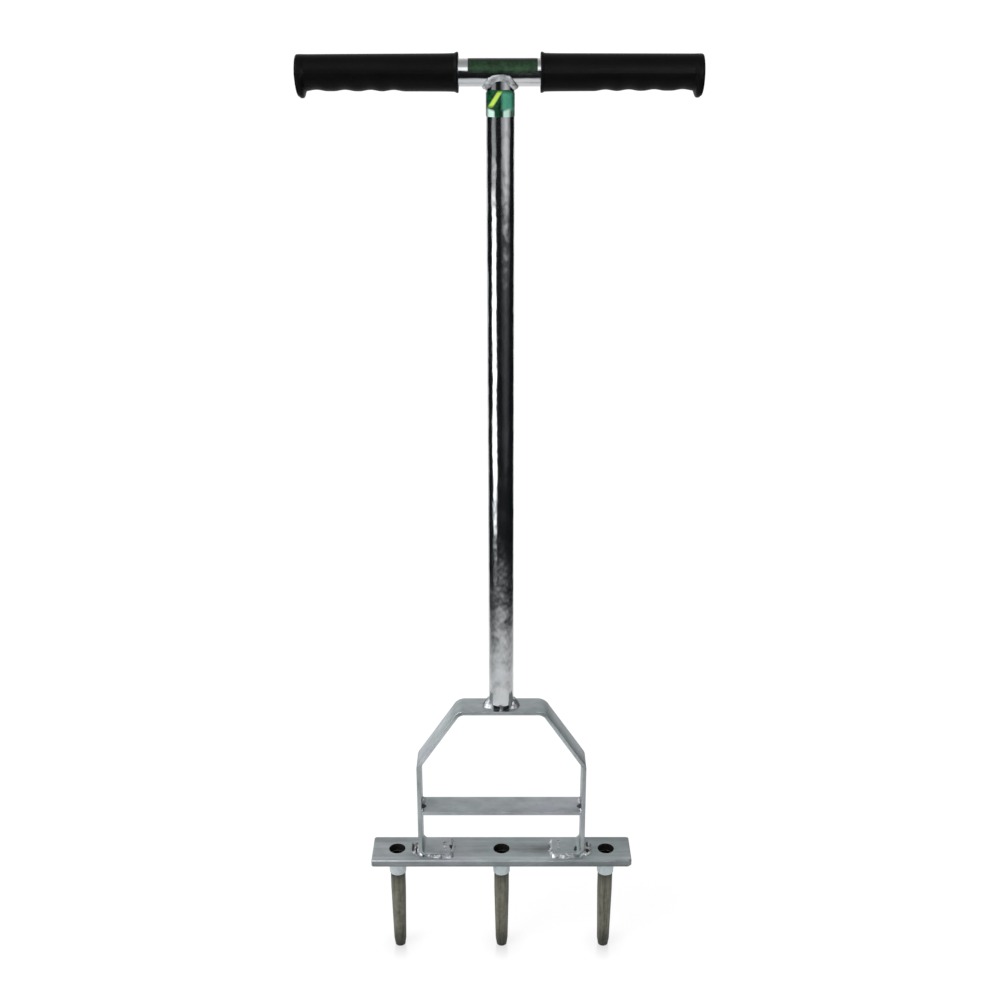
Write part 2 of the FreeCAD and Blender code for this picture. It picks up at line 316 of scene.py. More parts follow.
def zinc_material(name, stretch, brightness, streaks=0.0, is_strap=False, is_bar=False):
    """Bright zinc plate on rolled bar: cloudy, faintly blue, streaked along its grain and
    rubbed bright in spots; its edges are lighter, partly as wear and partly as painted
    highlight. The strap has a painted highlight on its slanted shoulders. The tine bar has
    painted shade on its sides, darker towards the bottom, a painted highlight along its
    top's front edge, and is scorched in one place."""
    s = Surface(name)
    clouds = s.noise(60, 5, 0.66, tuple(0.45 + 0.55 * axis for axis in stretch))
    grain = s.noise(900, 3, 0.6, stretch)
    bloom = s.noise(14, 2, 0.5)
    rubs = s.noise(210, 5, 0.7, stretch)
    tint = s.ramp(bloom, (0.30, (0.385, 0.445, 0.455)), (0.52, (0.435, 0.475, 0.490)),
                  (0.72, (0.430, 0.440, 0.490)))
    colour = s.shaded(tint, s.ramp(clouds, (0.28, 0.66 * brightness), (0.66, brightness)))
    long_marks = s.noise(75, 4, 0.6, tuple(0.7 * axis for axis in stretch))
    colour = s.shaded(colour, s.ramp(long_marks, (0.36, 1.0 - streaks), (0.56, 1.0)))
    if is_strap:
        # Painted highlight: the slanted shoulders are made lighter than the rest of the strap.
        above_legs = s.times(s.minus(s.parts["Z"], leg_top), 10)
        painted_slant_highlight = s.ramp(above_legs, (0.0, 0.74), (0.06, 1.0), (0.48, 1.0), (0.57, 0.74))
        colour = s.shaded(colour, painted_slant_highlight)
    if is_bar:
        # Painted shade: the bar's sides are darker than its top, darkest towards the bottom edge.
        rise = s.times(s.minus(s.parts["Z"], bar_low.z), 100)
        sides = s.ramp(rise, (0.02, 0.30), (0.25, 0.52), (0.62, 0.60), (0.77, 1.0))
        # Painted highlight: the top is lightest along its front edge and duller towards the back.
        inwards = s.times(s.plus(s.parts["Y"], bar_high.y), 100)
        inwards = s.plus(inwards, s.times(clouds, 0.4))
        colour = s.shaded(s.shaded(colour, sides), s.ramp(inwards, (0.72, 1.0), (1.0, 0.74)))
        scorch = s.measure("DISTANCE", s.stretched((22, 90, 0)), (0.88, -0.1, 0))
        scorch = s.plus(scorch, s.times(clouds, 0.5))
        colour = s.shaded(colour, s.ramp(scorch, (0.30, 0.50), (0.90, 1.0)))
    bright = s.ramp(rubs, (0.62, 0.0), (0.80, 1.0))
    # Edges lightened partly as wear and partly as painted highlight, found where the bevelled
    # normal turns away.
    edge = s.add("ShaderNodeBevel", {"Radius": 0.0012}, samples=4).outputs["Normal"]
    facing = s.measure("DOT_PRODUCT", edge, s.add("ShaderNodeNewGeometry").outputs["Normal"])
    worn_edge_and_highlight = s.ramp(facing, (0.90, 1.0), (0.985, 0.0))
    lighter = s.math("MAXIMUM", s.times(bright, 0.35), s.times(worn_edge_and_highlight, 0.28))
    colour = s.mix(lighter, colour, (0.70, 0.72, 0.73, 1))
    roughness = s.ramp(clouds, (0.25, 0.34), (0.75, 0.48))
    normal = s.bump(grain, 0.00003, s.bump(clouds, 0.00022))
    return s.finish(Base_Color=colour, Metallic=0.82, Roughness=roughness, Normal=normal)


def painted_shade_steel_material():
    """Near black, speckled steel: painted shade for the shaft tube's hollow and the walls of the
    bar's holes.
    """
    s = Surface("painted_shade_steel")
    rust = s.noise(700, 4, 0.6)
    colour = s.ramp(rust, (0.3, (0.010, 0.009, 0.009)), (0.7, (0.030, 0.026, 0.024)))
    return s.finish(Base_Color=colour, Metallic=0.5, Roughness=0.7,
                    Normal=s.bump(rust, 0.0001), Specular_IOR_Level=0.2)


def weld_stain_and_shadow_material():
    """Near black, glassy in spots: burnt flux in the step's weld craters, dark lumps on the feet's
    welds and at the shaft's foot, and painted shadow in the grooves at the outer sides of the
    legs.
    """
    s = Surface("weld_stain_and_shadow")
    crust = s.noise(900, 4, 0.6)
    colour = s.ramp(crust, (0.3, (0.010, 0.011, 0.012)), (0.75, (0.060, 0.064, 0.066)))
    roughness = s.ramp(crust, (0.3, 0.35), (0.7, 0.7))
    return s.finish(Base_Color=colour, Roughness=roughness, Normal=s.bump(crust, 0.0001),
                    Specular_IOR_Level=0.3)


def weld_material(name, low, high, metallic):
    """Plated weld metal: brighter than the bar, with dull oxide in patches."""
    s = Surface(name)
    patches = s.noise(170, 4, 0.6)
    fine = s.noise(1400, 3, 0.6)
    middle = (low + high) * 0.45
    colour = s.ramp(patches, (0.36, (low * 0.92, low * 0.96, low * 1.08)),
                    (0.50, (middle * 0.97, middle, middle * 1.04)),
                    (0.66, (high * 0.97, high * 0.99, high * 1.01)))
    roughness = s.ramp(patches, (0.34, 0.52), (0.66, 0.28))
    return s.finish(Base_Color=colour, Metallic=metallic, Roughness=roughness,
                    Normal=s.bump(fine, 0.00008))


def tine_material():
    """Oiled, heat-darkened olive steel with turning marks and bright scratches, darker towards the
    tip, with painted shade on its top, which is seen only down the bar's hole.
    """
    s = Surface("tine_steel")
    mottled = s.noise(160, 5, 0.65)
    turning = s.noise(700, 2, 0.5, (0.03, 0.03, 1))
    scores = s.noise(330, 4, 0.7, (1, 1, 0.04))
    base = s.ramp(mottled, (0.28, (0.085, 0.085, 0.060)), (0.55, (0.140, 0.140, 0.106)),
                  (0.78, (0.190, 0.187, 0.148)))
    rubbed = s.ramp(scores, (0.54, 0.0), (0.68, 0.55))
    colour = s.mix(rubbed, base, (0.24, 0.235, 0.20, 1))
    colour = s.shaded(colour, s.ramp(scores, (0.34, 0.50), (0.50, 1.0)))
    # Darker towards the tip, and painted shade on the top, where the tine stands down in the
    # socket and the bar's hole.
    uneven = s.plus(s.parts["Z"], s.times(mottled, 0.006))
    darker_tip_and_hole_shade = s.ramp(uneven, (0.005, 0.24), (0.015, 0.45), (0.032, 1.0), (0.080, 1.0),
                     (0.093, 0.55), (0.096, 0.02))
    roughness = s.ramp(mottled, (0.25, 0.36), (0.75, 0.52))
    normal = s.bump(mottled, 0.00006, s.bump(turning, 0.00004))
    return s.finish(Base_Color=s.shaded(colour, darker_tip_and_hole_shade), Metallic=0.35, Roughness=roughness,
                    Normal=normal)


def rubber_material():
    """Black satin grip rubber: fine pebble, moulding flow and a little grey dust."""
    s = Surface("grip_rubber")
    pebble = s.add("ShaderNodeTexVoronoi", {"Vector": s.place, "Scale": 1500.0})
    flow = s.noise(60, 4, 0.6, (0.4, 1, 1))
    dust = s.noise(240, 6, 0.7)
    base = s.ramp(flow, (0.3, (0.0026, 0.0026, 0.0028)), (0.7, (0.0044, 0.0044, 0.0048)))
    dusty = s.ramp(dust, (0.62, 0.0), (0.85, 0.25))
    colour = s.mix(dusty, base, (0.020, 0.020, 0.021, 1))
    roughness = s.ramp(flow, (0.25, 0.36), (0.75, 0.46))
    normal = s.bump(flow, 0.00025, s.bump(pebble.outputs["Distance"], 0.00005))
    return s.finish(Base_Color=colour, Roughness=roughness, Normal=normal,
                    Specular_IOR_Level=0.06)


def handle_label_material():
    """Dark green film with a soft mottled print, and painted light and shade by height: lightest a
    little above the tube's middle, darkest over its top.
    """
    s = Surface("handle_label_film")
    print_grain = s.noise(420, 4, 0.6)
    green = s.ramp(print_grain, (0.30, (0.010, 0.036, 0.014)), (0.70, (0.028, 0.082, 0.034)))
    # Painted light and shade round the tube: a lighter band a little above the middle, painted
    # dark over the top.
    rise = s.times(s.minus(s.parts["Z"], handle_height), 80)
    shade = s.ramp(rise, (0.10, 0.75), (0.42, 1.0), (0.66, 0.75), (0.80, 0.12))
    blots = s.ramp(s.noise(90, 3, 0.6), (0.40, 0.6), (0.60, 1.1))
    colour = s.shaded(s.shaded(green, shade), blots)
    scuffs = s.noise(150, 5, 0.7, (0.3, 1, 1))
    roughness = s.ramp(scuffs, (0.35, 0.18), (0.75, 0.42))
    return s.finish(Base_Color=colour, Roughness=roughness,
                    Normal=s.bump(print_grain, 0.00002), Specular_IOR_Level=0.22)


def shaft_label_material(low, high):
    """Dark green film with a plain lime stroke, a teal block and pale patches below."""
    s = Surface("shaft_label_film")
    grain = s.noise(500, 3, 0.6)
    blots = s.noise(190, 3, 0.6)
    base = s.ramp(blots, (0.38, (0.002, 0.012, 0.006)), (0.62, (0.006, 0.085, 0.034)))
    rise = s.math("DIVIDE", s.minus(s.parts["Z"], low), high - low)
    aside = s.plus(s.times(s.parts["X"], 40), 0.5)
    teal = s.times(s.ramp(aside, (0.50, 0.0), (0.62, 1.0), (0.84, 1.0), (0.92, 0.3)),
                   s.ramp(rise, (0.18, 0.0), (0.32, 1.0), (0.84, 1.0), (0.95, 0.2)))
    colour = s.mix(s.times(teal, 0.85), base, (0.080, 0.40, 0.26, 1))
    up_stroke = s.minus(s.plus(rise, 0.3), s.times(aside, 1.8))
    lime = s.times(s.ramp(up_stroke, (0.17, 0.0), (0.27, 1.0), (0.45, 1.0), (0.55, 0.0)),
                   s.ramp(rise, (0.32, 0.0), (0.44, 1.0), (0.88, 1.0), (0.98, 0.0)))
    colour = s.mix(lime, colour, (0.50, 0.74, 0.10, 1))
    out = s.math("ABSOLUTE", s.plus(s.parts["X"], 0.0012))
    slant = s.plus(rise, s.times(out, -14))
    patches = s.times(s.ramp(slant, (0.0, 1.0), (0.13, 1.0), (0.22, 0.0)),
                      s.ramp(s.times(out, 100), (0.30, 0.0), (0.45, 1.0), (0.80, 1.0), (1.0, 0.1)))
    colour = s.mix(patches, colour, (0.62, 0.88, 0.78, 1))
    scuffs = s.noise(160, 5, 0.7)
    roughness = s.ramp(scuffs, (0.35, 0.16), (0.75, 0.40))
    return s.finish(Base_Color=colour, Roughness=roughness, Normal=s.bump(grain, 0.00002),
                    Specular_IOR_Level=0.3)


# ---- tubes ----
def make_handle_tube(material):
    """The cross tube, open at both ends under the grips."""
    places = steps_between(handle_low.x, handle_high.x, 41)
    bore = handle_radius - tube_wall
    sections = [(x, handle_radius) for x in places] + [(x, bore) for x in reversed(places)]

    def spot(angle, x, radius):
        return Vector((x, radius * sin(angle), handle_height + radius * cos(angle)))

    thing = loft("handle_tube_skin", rings_of(sections, tube_sides, spot), joined=True)
    return show(thing, "chromed_tube", material, "handle_tube")


def shaft_angles():
    """Angles round the shaft, closer together at the two sides of the drain notch."""
    nudge = 0.006
    steps = [tau * n / tube_sides - pi / 2 for n in range(tube_sides)]
    extra = [side * notch_spread + shift - pi / 2
             for side in (-1, 1) for shift in (-nudge, nudge)]
    near = [a for a in steps if all(abs(a - e) > 2 * nudge for e in extra)]
    return sorted(near + [a if a >= -pi / 2 else a + tau for a in extra])


def make_shaft_tube(material, inside_shade):
    """The upright tube: coped round the handle at its top, notched at its foot, with painted shade
    on its inner wall.
    """
    shares = [0, 0.003, 0.009, 0.03] + [n / 24 for n in range(1, 24)] + [0.985, 1]
    rings = []
    walls = [(shaft_radius, shares), (shaft_radius - tube_wall, shares[::-1])]
    for radius, order in walls:
        for share in order:
            ring = []
            for angle in shaft_angles():
                x, y = radius * cos(angle), radius * sin(angle)
                from_front = abs((angle + pi / 2 + pi) % tau - pi)
                foot = shaft_low.z + (notch_height if from_front < notch_spread else 0)
                saddle = handle_height - sqrt(max(0, handle_radius ** 2 - y * y))
                top = min(saddle, shaft_high.z)
                ring.append(Vector((x, y, foot + (top - foot) * share)))
            rings.append(ring)
    thing = loft("shaft_tube_skin", rings, joined=True)
    show(thing, "chromed_tube", material, "shaft_tube")
    # The inner wall takes the second material, painted shade.
    thing.data.materials.append(inside_shade)
    for face in thing.data.polygons:
        if face.center.xy.length < shaft_radius - 0.6 * tube_wall:
            face.material_index = 1
    return thing


# ---- strap work ----
def rounded_route(points, radii, arc_steps=10, run_steps=8):
    """(place, heading, bend) stations along an (x, z) path whose corners are arcs: bend is 0
    on a run and 1 in the middle of an arc."""
    route = []
    corners = [Vector((x, 0, z)) for x, z in points]
    last = corners[0]
    for before, middle, after, radius in zip(corners, corners[1:], corners[2:], radii):
        back = (before - middle).normalized()
        ahead = (after - middle).normalized()
        half_angle = back.angle(ahead) / 2
        reach = radius / tan(half_angle)
        start, end = middle + back * reach, middle + ahead * reach
        centre = middle + (back + ahead).normalized() * (radius / sin(half_angle))
        for step in range(run_steps):
            route.append((last.lerp(start, step / run_steps), -back, 0.0))
        turn = (start - centre).angle(end - centre)
        spin = (start - centre).cross(end - centre).normalized()
        for step in range(arc_steps):
            share = step / arc_steps
            rotation = Matrix.Rotation(turn * share, 3, spin)
            bend = sin(pi * share)
            route.append((centre + rotation @ (start - centre), rotation @ -back, bend))
        last = end
    heading = (corners[-1] - last).normalized()
    for step in range(run_steps + 1):
        route.append((last.lerp(corners[-1], step / run_steps), heading, 0.0))
    return route


def strap_section(place, heading, bend):
    """One rounded rectangle across a strap: a bend squeezes its inner side wider."""
    outward = Vector((-heading.z, 0, heading.x))
    edge = strap_edge_radius
    ring = []
    for index, (side, face) in enumerate([(1, 1), (-1, 1), (-1, -1), (1, -1)]):
        for step in range(5):
            angle = radians(90 * (index + step / 4))
            across = side * (half_width - edge) + edge * cos(angle)
            depth = face * (half_strap - edge) + edge * sin(angle)
            across *= 1 - 0.035 * bend * face
            ring.append(place + Y * across + outward * depth)
    return ring


def make_strap(name, route):
    return loft(name, [strap_section(*station) for station in route], crease=50)


def make_yoke(material):
    """The strap bent over the shaft's foot and turned in on the tine bar."""
    right_side = [
        (shoulder_half_width, yoke_high.z - half_strap),
        (leg_middle, leg_top),
        (leg_middle, yoke_low.z + half_strap),
        (foot_inner_end, yoke_low.z + half_strap),
    ]
    points = [(-x, z) for x, z in reversed(right_side)] + right_side
    bends = [foot_bend_radius, leg_bend_radius, shoulder_bend_radius]
    thing = make_strap("yoke_strap", rounded_route(points, bends + bends[::-1]))
    return show(thing, "zinc_plate", material, "yoke")


def make_foot_bar(material):
    middle = (step_low.z + step_high.z) / 2
    places = steps_between(step_low.x, step_high.x, 25)
    thing = make_strap("foot_bar_strap", [(Vector((x, 0, middle)), X, 0.0) for x in places])
    return show(thing, "zinc_plate", material, "foot_bar")


def rolled_outline(inset, height):
    """Corners of the tine bar's outline, moved inwards by an inset, at one height."""
    long, wide = bar_high.x - inset, bar_high.y - inset
    points = []
    for sx, sy in ((1, 1), (-1, 1), (-1, -1), (1, -1)):
        cut = (bar_worn_corner if (sx, sy) == (1, -1) else bar_sawn_corner) + 0.3 * inset
        pair = [Vector((sx * long, sy * (wide - cut), height)),
                Vector((sx * (long - cut), sy * wide, height))]
        points += pair if sx * sy > 0 else pair[::-1]
    return points


def add_skin(work, rings):
    """Faces between closed rings of points; the rings' vertices come back."""
    rows = [[work.verts.new(point) for point in ring] for ring in rings]
    for row, after in zip(rows, rows[1:]):
        for n in range(len(row)):
            m = (n + 1) % len(row)
            work.faces.new((row[n], row[m], after[m], after[n]))
    return rows


def edge_loop(work, row):
    return [work.edges.get((row[n], row[(n + 1) % len(row)])) for n in range(len(row))]


def make_tine_bar(material, hole_wall_shade):
    """The thick rolled bar, rounded along its edges, with three holes whose walls carry
    painted shade."""
    bottom, top = bar_low.z, bar_high.z
    arc = [(bar_rolled_edge * (1 - sin(radians(15 * n))),
            bar_rolled_edge * (1 - cos(radians(15 * n)))) for n in range(7)]
    levels = [(inset, bottom + rise) for inset, rise in arc]
    levels += [(inset, top - rise) for inset, rise in arc[::-1]]
    work = bmesh.new()
    outside = add_skin(work, [rolled_outline(inset, height) for inset, height in levels])
    centres = []
    loops = {0: edge_loop(work, outside[0]), -1: edge_loop(work, outside[-1])}
    for name in TINES:
        low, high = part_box("tine_" + name)
        centre = (low + high) / 2
        centres.append(centre.xy)
        wall = [(bar_hole_radius + hole_rim, bottom), (bar_hole_radius, bottom + hole_rim),
                (bar_hole_radius, top - hole_rim), (bar_hole_radius + hole_rim, top)]
        rows = add_skin(work, rings_of(wall, 64, lambda angle, radius, height:
                                       polar(radius, angle, height) + X * centre.x))
        loops[0] += edge_loop(work, rows[0])
        loops[-1] += edge_loop(work, rows[-1])
    for edges in loops.values():
        bmesh.ops.triangle_fill(work, edges=edges, use_beauty=True)
    mesh = bpy.data.meshes.new("tine_bar_plate")
    work.to_mesh(mesh)
    work.free()
    thing = add_object("tine_bar_plate", mesh, crease=35)
    show(thing, "zinc_plate", material, "tine_bar")
    # The hole walls take the second material, painted shade.
    mesh.materials.append(hole_wall_shade)
    for face in mesh.polygons:
        from_centre = min((face.center.xy - centre).length for centre in centres)
        if from_centre < bar_hole_radius + 0.6 * hole_rim:
            face.material_index = 1
    return thing


# ---- tines and their collars ----
def make_tines(steel, plate):
    for name in TINES:
        low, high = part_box("tine_" + name)
        centre = Vector(((low.x + high.x) / 2, 0, 0))
        outer = (high.x - low.x) / 2
        profile = smooth_profile([
            (4.95 * MM, 0.25 * MM), (5.1 * MM, 0), (5.25 * MM, 0.2 * MM),
            (6.1 * MM, 6.2 * MM), (6.32 * MM, 8.2 * MM), (outer, 70 * MM), (outer, high.z),
            (6 * MM, high.z), (6 * MM, 20 * MM), (4.9 * MM, 12 * MM),
        ], 5)
        tine = turned("tine_tube_" + name, profile, centre, 0.006)
        show(tine, "tine_steel", steel, "tine_" + name)
        low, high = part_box("tine_socket_" + name)
        flare = (high.x - low.x) / 2
        collar = smooth_profile([
            (outer, low.z + 0.3 * MM), (outer + 0.3 * MM, low.z), (8.1 * MM, low.z + 0.1 * MM),
            (8.45 * MM, low.z + 0.7 * MM), (8.55 * MM, low.z + 4 * MM),
            (8.9 * MM, low.z + 9 * MM), (9.6 * MM, low.z + 15 * MM),
            (flare, high.z), (outer, high.z),
        ], 4)
        socket = turned("tine_collar_" + name, collar, centre, 0.02)
        show(socket, "zinc_plate", plate, "tine_socket_" + name)


# ---- welds ----
def weld_bead(name, path, leg_a, leg_b, crown=0.25, seed=0.0, closed=False, rough=1.0):
    """A rippled fillet along (corner, along_a, along_b, outward) stations: its two toes lie on
    the two surfaces, its crown stands out between them, and rough scales its lumps."""
    lengths = [0.0]
    for first, second in zip(path, path[1:]):
        lengths.append(lengths[-1] + (second[0] - first[0]).length)
    total = lengths[-1]
    rings = []
    for (corner, along_a, along_b, outward), run in zip(path, lengths):
        end = 1.0 if closed else ease(min(run, total - run) / (1.3 * leg_a) + 0.18)
        drift = rough * noise.noise(Vector((run * 180, seed, 1.7)))
        ring = [corner - outward * 0.7 * leg_a]
        for step in range(13):
            angle = radians(-14 + 118 * step / 12)
            middle = max(0.0, sin(2 * angle))
            phase = (run - 0.55 * leg_a * middle) / ripple_pitch
            ripple = (phase + seed) % 1.0
            ridge = 0.075 * (1 - ripple) ** 1.5 * middle
            lump = 0.09 * rough * noise.noise(Vector((run * 420, step * 0.35, seed)))
            flat = 1 / max(0.6, abs(cos(angle)) + abs(sin(angle)))
            reach = (flat + crown * middle + ridge + lump + 0.10 * drift) * end
            spot = along_a * (leg_a * cos(angle)) + along_b * (leg_b * sin(angle))
            ring.append(corner + spot * reach)
        rings.append(ring)
    return loft(name, rings, joined=closed, crease=70)


def arc_stations(centre, radius, start, end, steps, drop):
    """Weld stations round a vertical tube; drop is +1 on a floor below it, -1 on a roof."""
    stations = []
    for degrees in steps_between(start, end, steps):
        radial = polar(1, radians(degrees))
        outward = (radial + Z * drop).normalized()
        stations.append((centre + radial * radius, radial, Z * drop, outward))
    return stations


def make_crust(name, centre, wide, deep, levels, count, unevenness, stain_and_shadow):
    """A low dark lump through (height in mm, spread) levels. Its unevenness is
    (seed, waviness, share of the size)."""
    seed, waviness, swing = unevenness

    def spot(angle, level, spread):
        swell = spread * (1 + swing * noise.noise(Vector((seed, waviness * angle, 0.5))))
        return centre + Vector((wide * swell * cos(angle), deep * swell * sin(angle), level * MM))

    show(loft(name, rings_of(levels, count, spot), crease=70), "zinc_weld", stain_and_shadow)


def make_shaft_welds(material, stain_and_shadow):
    """Fillets at the sides of the shaft's foot, clipped to the strap, and the notch's tack,
    with dark lumps on the strap in front of the notch."""
    foot = Vector((0, 0, shaft_low.z))
    for name, start, end in (("right", -42, 88), ("left", 222, 92)):
        bead = weld_bead("shaft_foot_bead_" + name,
                         arc_stations(foot, shaft_radius, start, end, 110, 1),
                         6.6 * MM, 7.4 * MM, 0.02, seed=0.3 + end)
        for vertex in bead.data.vertices:
            vertex.co.y = min(half_width - 0.3 * MM, max(0.3 * MM - half_width, vertex.co.y))
        show(bead, "zinc_weld", material, "shaft_weld_" + name)

    def tack_spot(angle, share):
        centre = Vector((0.4 * MM * sin(3 * share), -shaft_radius + 0.6 * MM,
                         shaft_low.z + (notch_height + 1.4 * MM) * share - 0.3 * MM))
        width = (2.2 - 1.0 * sin(pi * share) + 0.9 * share) * MM
        lump = 1 + 0.12 * noise.noise(Vector((share * 9, angle, 4.1)))
        return centre + Vector((width * cos(angle), 1.5 * MM * sin(angle), 0)) * lump

    rings = rings_of([(share,) for share in steps_between(0, 1, 15)], 20, tack_spot)
    show(loft("shaft_foot_tack", rings, crease=70), "zinc_weld", material, "shaft_weld_tack")
    levels = ((-0.6, 1.0), (0.30, 1.0), (0.55, 0.7), (0.6, 0.2))
    for name, side in SIDES.items():
        centre = foot + Vector((4.9 * MM * side, 0.4 * MM - shaft_radius, 0))
        make_crust("shaft_foot_dark_lump_" + name, centre, 2.9 * MM, 1.8 * MM, levels, 24,
                   (3 * side, 1, 0.25), stain_and_shadow)


def make_handle_weld(material):
    """The bead round the saddle between the two tubes, rounded at its front and back."""
    count = 200
    spots = []
    for step in range(count):
        angle = tau * step / count
        front = abs(sin(angle)) ** 6
        x = shaft_radius * cos(angle)
        y = shaft_radius * sin(angle) * (1 - 0.07 * front)
        saddle = sqrt(max(0.0, handle_radius ** 2 - y * y))
        drop = (saddle ** 4 + saddle_drop ** 4) ** 0.25
        spots.append(Vector((x, y, handle_height - drop)))
    stations = []
    for n, spot in enumerate(spots):
        ahead = (spots[(n + 1) % count] - spots[n - 1]).normalized()
        from_handle = Vector((0, spot.y, spot.z - handle_height)).normalized()
        from_shaft = Vector((spot.x, spot.y, 0)).normalized()
        over = ahead.cross(from_handle).normalized()
        over = over if over.dot(from_shaft + Z) > 0 else -over
        down = ahead.cross(from_shaft).normalized()
        down = down if down.z < 0 else -down
        outward = (from_handle + from_shaft).normalized()
        lean = outward * (0.6 * max(0.0, -over.dot(down)))
        stations.append((spot, (over + lean).normalized(), (down + lean).normalized(), outward))
    bead = weld_bead("handle_bead", stations, 3.5 * MM, 2.9 * MM, 0.04, seed=2.0, closed=True,
                     rough=2.0)
    show(bead, "zinc_weld", material, "handle_weld")


def cross_stations(x, front, back, z, along_a, along_b, steps=60):
    """Weld stations straight across the strap, from front to back."""
    outward = (along_a + along_b).normalized()
    return [(Vector((x, y, z)), along_a, along_b, outward)
            for y in steps_between(front, back, steps)]


def make_foot_bar_welds(material, stain_and_shadow):
    """Beads on top and underneath at each end of the step. The top one is laid in two
    halves, with a burnt crater between them."""
    gap = (-7.0 * MM, 0.5 * MM)
    runs = (("top_front", step_high.z, Z, 0.6 * MM - half_width, gap[0]),
            ("top_back", step_high.z, Z, gap[1], half_width - 0.6 * MM),
            ("under", step_low.z, -Z, 2.5 * MM - half_width, half_width - 2.5 * MM))
    for name, side in SIDES.items():
        inward = X * -side
        face = side * leg_inner_face
        for label, level, up, front, back in runs:
            bead = weld_bead("foot_bar_bead_" + name + "_" + label,
                             cross_stations(face, front, back, level, inward, up),
                             3.0 * MM, 2.6 * MM, 0.15, seed=5.1 + side + front * 90)
            show(bead, "zinc_weld", material,
                 *(["foot_bar_weld_" + name] if label == "under" else []))
        path = cross_stations(face, gap[0] - 1.5 * MM, gap[1] + 1.5 * MM, step_high.z,
                              inward, Z, 30)
        crater = weld_bead("foot_bar_crater_" + name, path, 4.4 * MM, 1.9 * MM, 0.0,
                           seed=6.0 + side)
        show(crater, "zinc_weld", stain_and_shadow)


def foot_stations(side):
    """Weld stations round a foot: front edge, rounded inner end, back edge."""
    corner_radius = 1.5 * MM
    start = leg_middle - foot_bend_radius + 1 * MM
    turn_x, turn_y = foot_inner_end + corner_radius, half_width - corner_radius
    run = steps_between(start, turn_x, 26)

    def turn(y, first):
        return [Vector((turn_x, y, 0)) + polar(corner_radius, radians(first - 90 * n / 8))
                for n in range(1, 8)]

    outline = [Vector((x, -half_width, 0)) for x in run] + turn(-turn_y, 270)
    outline += [Vector((foot_inner_end, y, 0)) for y in steps_between(-turn_y, turn_y, 26)]
    outline += turn(turn_y, 180) + [Vector((x, half_width, 0)) for x in reversed(run)]
    stations = []
    for index, spot in enumerate(outline):
        ahead = outline[min(index + 1, len(outline) - 1)] - outline[max(index - 1, 0)]
        outward = Vector((-ahead.y, ahead.x, 0)).normalized()
        outward = outward if outward.dot(spot - Vector((start, 0, 0))) > 0 else -outward
        corner = Vector((side * spot.x, spot.y, bar_high.z))
        away = Vector((side * outward.x, outward.y, 0))
        stations.append((corner, away, Z.copy(), (away + Z).normalized()))
    return stations


def make_foot_welds(material):
    """The bead round each foot, a wide one over its end, and two outside its bend."""
    edge = leg_middle + half_strap
    passes = (("groove", edge - 4.2 * MM, 7.6 * MM, 5.2 * MM, 0.55, 1.2 * MM),
              ("outer", edge + 1.6 * MM, 6.6 * MM, 2.6 * MM, 0.0, -0.8 * MM))
    for name, side in SIDES.items():
        ring = weld_bead("yoke_foot_bead_" + name, foot_stations(side),
                         3.2 * MM, 3.0 * MM, 0.0, seed=7.3 + side, rough=3.2)
        show(ring, "zinc_weld", material, "yoke_foot_weld_" + name)
        path = cross_stations(side * (foot_inner_end + 6 * MM), -half_width - 2 * MM,
                              half_width + 2 * MM, bar_high.z, -X * side, Z, 80)
        pad = weld_bead("yoke_end_bead_" + name, path, 10.0 * MM, 4.7 * MM, -0.02,
                        seed=3.3 + side, rough=2.4)
        show(pad, "zinc_weld", material)
        outward = X * side
        for label, place, wide, tall, lean, margin in passes:
            reach = half_width + margin
            path = cross_stations(side * place, -reach, reach, bar_high.z, outward,
                                  (Z + outward * lean).normalized(), 80)
            bead = weld_bead("yoke_" + label + "_bead_" + name, path, wide, tall, 0.12,
                             seed=9.7 + side + tall * 300)
            show(bead, "zinc_weld", material)


def make_weld_dark_lumps(stain_and_shadow):
    """Dark lumps on and beside the feet's welds, as (x, y, length, width) in mm; those in the
    grooves at the outer sides of the legs are painted shadow.
    """
    pits = ((-87.0, -4.0, 5.0, 1.0), (-91.0, 1.0, 6.0, 0.9), (-52.0, -2.0, 2.6, 1.7),
            (75.5, -5.0, 4.6, 1.4), (87.5, -6.5, 2.6, 1.9), (88.0, 4.0, 4.0, 0.9))
    levels = ((-1.5, 1.0), (0.35, 1.0), (0.62, 0.75), (0.72, 0.3))
    groove_outer = leg_middle + half_strap + 9 * MM
    for index, (x, y, length, width) in enumerate(pits):
        on_foot = foot_inner_end < abs(x) * MM + 1 * MM < leg_middle
        # Lumps in the groove at the outer side of a leg are painted shadow.
        in_groove = leg_middle < abs(x) * MM < groove_outer
        base = bar_high.z + (strap_thickness if on_foot else 2.4 * MM if in_groove else 1.6 * MM)
        make_crust("weld_dark_lump_%02d" % index, Vector((x * MM, y * MM, base)), width * MM,
                   length * MM, levels, 20, (index * 3.1, 1.6, 0.8), stain_and_shadow)


def make_socket_welds(material):
    for index, name in enumerate(TINES):
        low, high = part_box("tine_socket_" + name)
        centre = Vector(((low.x + high.x) / 2, 0, high.z))
        stations = arc_stations(centre, (high.x - low.x) / 2 - 0.2 * MM, 0, 358, 150, -1)
        bead = weld_bead("tine_collar_bead_" + name, stations, 2.9 * MM, 3.4 * MM, 0.15,
                         seed=11.0 + index, closed=True)
        show(bead, "zinc_weld", material, "tine_socket_weld_" + name)


